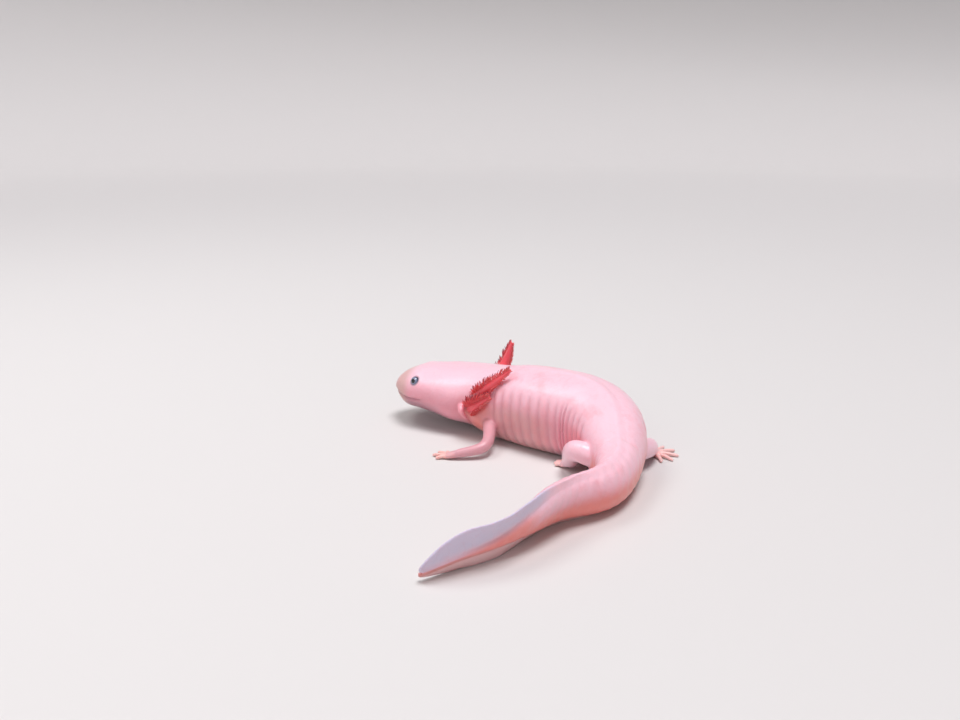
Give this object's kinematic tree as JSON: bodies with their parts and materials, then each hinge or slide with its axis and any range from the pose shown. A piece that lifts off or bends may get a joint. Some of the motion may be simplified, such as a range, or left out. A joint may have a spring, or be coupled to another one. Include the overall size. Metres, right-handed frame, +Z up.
{
  "type": "axolotl",
  "caption": "Life-size still model of a leucistic axolotl resting on its belly, head raised, feathery gills back and finned tail curled round to its left.",
  "frame": {"origin": "on the floor under the middle of the belly", "axes": "+Z up; -X the way the snout points, with the left flank facing -Y and the tail curled round towards -Y"},
  "size_m": [0.124, 0.1769, 0.0382],
  "materials": {
    "skin": "moist pale pink skin, soft satin gloss",
    "fin": "thin translucent greyish pink fin skin, satin",
    "gill": "moist crimson gill tissue, darker at the filament tips",
    "eye": "wet gloss, dark pupil in a bluish grey ring"
  },
  "bodies": {
    "root": {"head": "skin", "lower_jaw": "skin", "left_eye": "eye", "right_eye": "eye", "neck": "skin", "trunk_front": "skin", "trunk_middle": "skin", "trunk_rear": "skin", "hips": "skin", "tail_base": "skin", "tail_middle": "skin", "tail_end": "skin", "dorsal_fin_back": "fin", "dorsal_fin_base": "fin", "dorsal_fin_middle": "fin", "dorsal_fin_end": "fin", "ventral_fin_base": "fin", "ventral_fin_middle": "fin", "ventral_fin_end": "fin", "left_upper_arm": "skin", "left_forearm": "skin", "left_hand": "skin", "right_upper_arm": "skin", "right_forearm": "skin", "right_hand": "skin", "left_thigh": "skin", "left_shank": "skin", "left_foot": "skin", "right_thigh": "skin", "right_shank": "skin", "right_foot": "skin", "left_gill_upper": "gill", "left_gill_middle": "gill", "left_gill_lower": "gill", "right_gill_upper": "gill", "right_gill_middle": "gill", "right_gill_lower": "gill"}
  },
  "joints": []
}
